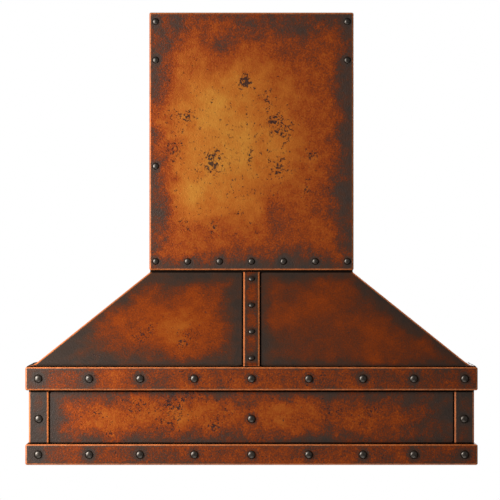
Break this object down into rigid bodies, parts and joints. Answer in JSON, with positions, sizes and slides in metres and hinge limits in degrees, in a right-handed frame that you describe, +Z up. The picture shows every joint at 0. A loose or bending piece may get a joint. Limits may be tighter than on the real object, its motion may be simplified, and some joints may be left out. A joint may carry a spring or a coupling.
{
  "type": "island range hood",
  "caption": "Ceiling-hung island range hood with a box chimney, sloped canopy, riveted bands and skirt, baffle filters, lamps, knobs and a blower inside.",
  "frame": {"origin": "centre of the ceiling face, on the duct's axis, so the hood hangs below it", "axes": "+X to the right seen from the front, +Y from the front to the rear, +Z up towards the ceiling"},
  "size_m": [1.067, 0.697, 1.072],
  "materials": {
    "patina_copper": "oxidised copper patina, golden orange at the centre of each sheet and dark brown towards its edges",
    "black_frame_steel": "satin black paint",
    "brushed_stainless": "brushed stainless steel",
    "galvanised_sheet": "galvanised sheet",
    "motor_grey": "dark grey paint",
    "dark_bronze": "dark oiled bronze",
    "frosted_glass": "frosted"
  },
  "bodies": {
    "root": {"chimney_front_cover": "patina_copper", "chimney_rear_cover": "patina_copper", "canopy_left_skin": "patina_copper", "canopy_right_skin": "patina_copper", "seam_strap_front": "patina_copper", "seam_strap_rear": "patina_copper", "upper_band": "patina_copper", "lower_band": "patina_copper", "apron_front": "patina_copper", "apron_rear": "patina_copper", "apron_left": "patina_copper", "apron_right": "patina_copper", "corner_strap_front_left": "patina_copper", "corner_strap_front_right": "patina_copper", "corner_strap_rear_left": "patina_copper", "corner_strap_rear_right": "patina_copper", "ceiling_plate": "black_frame_steel", "hanger_post_front_left": "black_frame_steel", "hanger_post_front_right": "black_frame_steel", "hanger_post_rear_left": "black_frame_steel", "hanger_post_rear_right": "black_frame_steel", "hanger_brace": "black_frame_steel", "canopy_ring": "black_frame_steel", "skirt_ring": "black_frame_steel", "carrier_rail_left": "black_frame_steel", "carrier_rail_right": "black_frame_steel", "motor_bracket": "black_frame_steel", "liner_pan": "brushed_stainless", "lamp_housing_front_left": "brushed_stainless", "lamp_housing_front_right": "brushed_stainless", "lamp_housing_rear_left": "brushed_stainless", "lamp_housing_rear_right": "brushed_stainless", "tray_runner_front": "brushed_stainless", "tray_runner_rear": "brushed_stainless", "plenum": "galvanised_sheet", "blower_box": "galvanised_sheet", "scroll_housing": "galvanised_sheet", "damper_collar": "galvanised_sheet", "duct_pipe": "galvanised_sheet", "junction_box": "galvanised_sheet", "junction_box_cover": "galvanised_sheet", "motor": "motor_grey", "switch_module": "motor_grey", "control_panel": "dark_bronze", "lamp_lens_front_left": "frosted_glass", "lamp_lens_front_right": "frosted_glass", "lamp_lens_rear_left": "frosted_glass", "lamp_lens_rear_right": "frosted_glass"},
    "impeller": {"impeller": "galvanised_sheet"},
    "damper_flap_left": {"damper_flap_left": "galvanised_sheet"},
    "damper_flap_right": {"damper_flap_right": "galvanised_sheet"},
    "filter_left": {"baffle_filter_left": "brushed_stainless", "filter_handle_left": "brushed_stainless"},
    "filter_centre": {"baffle_filter_centre": "brushed_stainless", "filter_handle_centre": "brushed_stainless"},
    "filter_right": {"baffle_filter_right": "brushed_stainless", "filter_handle_right": "brushed_stainless"},
    "fan_knob": {"fan_knob": "dark_bronze"},
    "light_knob": {"light_knob": "dark_bronze"},
    "grease_tray": {"grease_tray": "brushed_stainless"}
  },
  "joints": [
    {"name": "impeller_spin", "type": "hinge", "parent": "root", "child": "impeller", "pos_m": [-0.09, 0, -0.735], "axis": [0, 1, 0], "continuous": true},
    {"name": "damper_left_open", "type": "hinge", "parent": "root", "child": "damper_flap_left", "pos_m": [-0.006, 0, -0.592], "axis": [0, 1, 0], "range_deg": [0, 80]},
    {"name": "damper_right_open", "type": "hinge", "parent": "root", "child": "damper_flap_right", "pos_m": [0.006, 0, -0.592], "axis": [0, -1, 0], "range_deg": [0, 80]},
    {"name": "filter_left_swing", "type": "hinge", "parent": "root", "child": "filter_left", "pos_m": [-0.30725, 0.205, -1.0208], "axis": [1, 0, 0], "range_deg": [0, 75]},
    {"name": "filter_centre_swing", "type": "hinge", "parent": "root", "child": "filter_centre", "pos_m": [0, 0.205, -1.0208], "axis": [1, 0, 0], "range_deg": [0, 75]},
    {"name": "filter_right_swing", "type": "hinge", "parent": "root", "child": "filter_right", "pos_m": [0.30725, 0.205, -1.0208], "axis": [1, 0, 0], "range_deg": [0, 75]},
    {"name": "fan_knob_turn", "type": "hinge", "parent": "root", "child": "fan_knob", "pos_m": [-0.045, -0.258, -1.0246], "axis": [0, 0, 1], "range_deg": [0, 270]},
    {"name": "light_knob_turn", "type": "hinge", "parent": "root", "child": "light_knob", "pos_m": [0.045, -0.258, -1.0246], "axis": [0, 0, 1], "range_deg": [0, 270]},
    {"name": "grease_tray_slide", "type": "slide", "parent": "root", "child": "grease_tray", "axis": [1, 0, 0], "range_m": [0, 0.22]}
  ]
}
